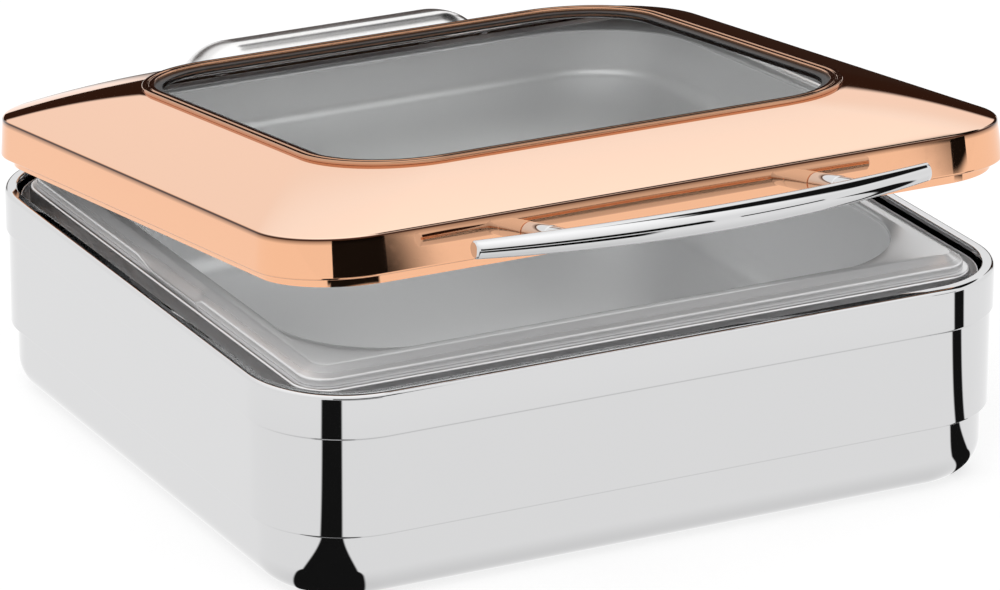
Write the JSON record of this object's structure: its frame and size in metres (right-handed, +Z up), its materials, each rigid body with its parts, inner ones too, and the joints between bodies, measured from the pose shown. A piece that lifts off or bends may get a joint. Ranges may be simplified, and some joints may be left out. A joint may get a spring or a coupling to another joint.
{
  "type": "hinged-lid chafing dish",
  "caption": "Rectangular two-thirds size chafing dish with a vessel, lift-out pan, and a hinged lid with a glass window and bow handle.",
  "frame": {"origin": "middle of the underside, where the induction plate rests on the counter", "axes": "+Z up; the handle is on the -Y side (front), the hinge on the +Y side; X runs along the front"},
  "size_m": [0.394, 0.4574, 0.1943],
  "materials": {
    "polished_steel": "mirror-polished stainless steel",
    "rose_copper": "mirror-polished copper-coloured coating on stainless steel",
    "satin_steel": "satin stainless steel",
    "ferritic_steel": "ground ferritic steel",
    "fastener_steel": "plain stainless fasteners",
    "clear_glass": "clear toughened glass",
    "black_silicone": "matt black silicone",
    "white_silicone": "translucent white silicone",
    "damper_plastic": "moulded black acetal",
    "bronze": "sintered bronze"
  },
  "bodies": {
    "base": {"base_shell": "polished_steel", "induction_plate": "ferritic_steel", "frame_rest_brackets": "satin_steel", "pan_frame": "polished_steel", "hinge_base_bracket": "satin_steel", "hinge_seal_pad": "black_silicone", "hinge_mounting_screws": "fastener_steel", "hinge_mounting_washers": "fastener_steel", "hinge_mounting_nuts": "fastener_steel", "hinge_bushes": "bronze", "damper_bodies": "damper_plastic", "damper_caps": "damper_plastic", "spring_left": "fastener_steel", "spring_right": "fastener_steel"},
    "lid": {"lid_shell": "rose_copper", "window_bezel": "rose_copper", "window_glass": "clear_glass", "window_gasket": "black_silicone", "window_clamp_frame": "satin_steel", "window_studs": "fastener_steel", "window_nuts": "fastener_steel", "lid_rest_bumpers": "white_silicone", "handle_bar": "polished_steel", "handle_posts": "polished_steel", "handle_screws": "fastener_steel", "handle_washers": "fastener_steel", "hinge_shaft": "satin_steel", "shaft_drive_pins": "fastener_steel", "damper_rotors": "damper_plastic", "lid_hinge_arm": "satin_steel", "lid_arm_screws": "fastener_steel", "lid_arm_washers": "fastener_steel", "lid_arm_nuts": "fastener_steel", "hinge_cover": "polished_steel", "cover_screws": "fastener_steel", "cover_washers": "fastener_steel"},
    "pan": {"food_pan": "polished_steel"}
  },
  "joints": [
    {"name": "lid_hinge", "type": "hinge", "parent": "base", "child": "lid", "pos_m": [0, 0.204, 0.128], "axis": [-1, 0, 0], "range_deg": [-7.2, 72.8]},
    {"name": "pan_lift", "type": "slide", "parent": "base", "child": "pan", "axis": [0, 0, 1], "range_m": [0, 0.024]}
  ]
}
